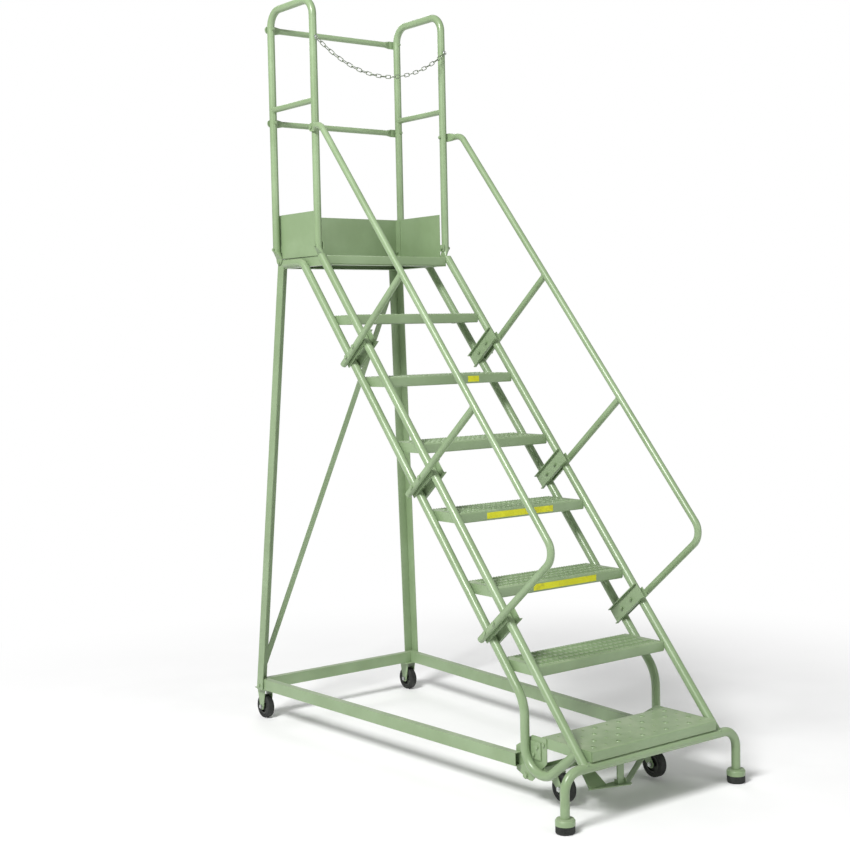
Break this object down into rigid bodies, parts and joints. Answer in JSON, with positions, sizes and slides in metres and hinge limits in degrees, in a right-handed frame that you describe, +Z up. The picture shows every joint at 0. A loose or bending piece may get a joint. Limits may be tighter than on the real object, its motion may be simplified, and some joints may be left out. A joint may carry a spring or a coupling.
{
  "type": "rolling warehouse ladder",
  "caption": "Rolling steel ladder with open-grid treads, two handrails, a guarded platform with a chain, rear wheels and a foot-operated caster carrier.",
  "frame": {"origin": "on the floor, at the centre of the ladder's bounding box", "axes": "+Z up, +X to the climber's right, +Y from the bottom tread towards the platform"},
  "size_m": [0.9319, 2.0924, 3.1161],
  "materials": {
    "green_paint": "satin sage-green enamel",
    "foot_rubber": "matte black moulded rubber",
    "tyre_rubber": "matte black moulded rubber",
    "wheel_hub": "matte dark grey moulding",
    "zinc_steel": "zinc plated",
    "yellow_tape": "plain yellow strip, no lettering"
  },
  "bodies": {
    "frame": {"front_stringer_left": "green_paint", "front_stringer_right": "green_paint", "rear_stringer_left": "green_paint", "rear_stringer_right": "green_paint", "foot_tube": "green_paint", "foot_collars": "green_paint", "rubber_foot_left": "foot_rubber", "rubber_foot_right": "foot_rubber", "step_1": "green_paint", "step_2": "green_paint", "step_3": "green_paint", "step_4": "green_paint", "step_5": "green_paint", "step_6": "green_paint", "step_7": "green_paint", "platform_deck": "green_paint", "platform_frame": "green_paint", "toe_board_left": "green_paint", "toe_board_right": "green_paint", "toe_board_rear": "green_paint", "guard_frame_left": "green_paint", "guard_frame_right": "green_paint", "mid_rails": "green_paint", "crossbar_upper": "green_paint", "crossbar_lower": "green_paint", "handrail_left": "green_paint", "handrail_right": "green_paint", "handrail_struts": "green_paint", "rail_clamps": "green_paint", "rear_leg_left": "green_paint", "rear_leg_right": "green_paint", "rear_brace": "green_paint", "base_rail_left": "green_paint", "base_rail_right": "green_paint", "base_rail_rear": "green_paint", "base_plates": "green_paint", "rear_forks": "green_paint", "rear_axles": "zinc_steel", "latch_guide": "green_paint", "chain_eyes": "zinc_steel", "guard_bolts": "green_paint", "frame_bolts": "green_paint", "marking_strips": "yellow_tape"},
    "rear_wheel_left": {"rear_hub_left": "wheel_hub", "rear_tyre_left": "tyre_rubber"},
    "rear_wheel_right": {"rear_hub_right": "wheel_hub", "rear_tyre_right": "tyre_rubber"},
    "carrier": {"caster_carrier": "green_paint", "caster_plates": "zinc_steel", "lock_pedal": "green_paint"},
    "swivel_left": {"front_fork_left": "green_paint", "front_axle_left": "zinc_steel"},
    "swivel_right": {"front_fork_right": "green_paint", "front_axle_right": "zinc_steel"},
    "front_wheel_left": {"front_hub_left": "wheel_hub", "front_tyre_left": "tyre_rubber"},
    "front_wheel_right": {"front_hub_right": "wheel_hub", "front_tyre_right": "tyre_rubber"},
    "latch": {"latch_strap": "green_paint"},
    "chain": {"chain": "zinc_steel"}
  },
  "joints": [
    {"name": "carrier_swing", "type": "hinge", "parent": "frame", "child": "carrier", "pos_m": [0, -0.68175, 0.101], "axis": [1, 0, 0], "range_deg": [0, 11]},
    {"name": "latch_tilt", "type": "hinge", "parent": "carrier", "child": "latch", "pos_m": [-0.04, -0.88025, 0.068], "axis": [1, 0, 0], "range_deg": [-11, 0]},
    {"name": "chain_swing", "type": "hinge", "parent": "frame", "child": "chain", "pos_m": [0, 0.53432, 2.932], "axis": [1, 0, 0], "range_deg": [-18, 18]},
    {"name": "caster_swivel_left", "type": "hinge", "parent": "carrier", "child": "swivel_left", "pos_m": [-0.23, -0.74699, 0.10757], "axis": [0, 0.1908, 0.9816], "continuous": true},
    {"name": "front_wheel_left_spin", "type": "hinge", "parent": "swivel_left", "child": "front_wheel_left", "pos_m": [-0.23, -0.78773, 0.06048], "axis": [1, 0, 0], "continuous": true},
    {"name": "rear_wheel_left_spin", "type": "hinge", "parent": "frame", "child": "rear_wheel_left", "pos_m": [-0.396, 0.99525, 0.051], "axis": [1, 0, 0], "continuous": true},
    {"name": "caster_swivel_right", "type": "hinge", "parent": "carrier", "child": "swivel_right", "pos_m": [0.23, -0.74699, 0.10757], "axis": [0, 0.1908, 0.9816], "continuous": true},
    {"name": "front_wheel_right_spin", "type": "hinge", "parent": "swivel_right", "child": "front_wheel_right", "pos_m": [0.23, -0.78773, 0.06048], "axis": [1, 0, 0], "continuous": true},
    {"name": "rear_wheel_right_spin", "type": "hinge", "parent": "frame", "child": "rear_wheel_right", "pos_m": [0.396, 0.99525, 0.051], "axis": [1, 0, 0], "continuous": true}
  ],
  "couplings": [
    {"joint": "latch_tilt", "follows": "carrier_swing", "ratio": -1}
  ]
}
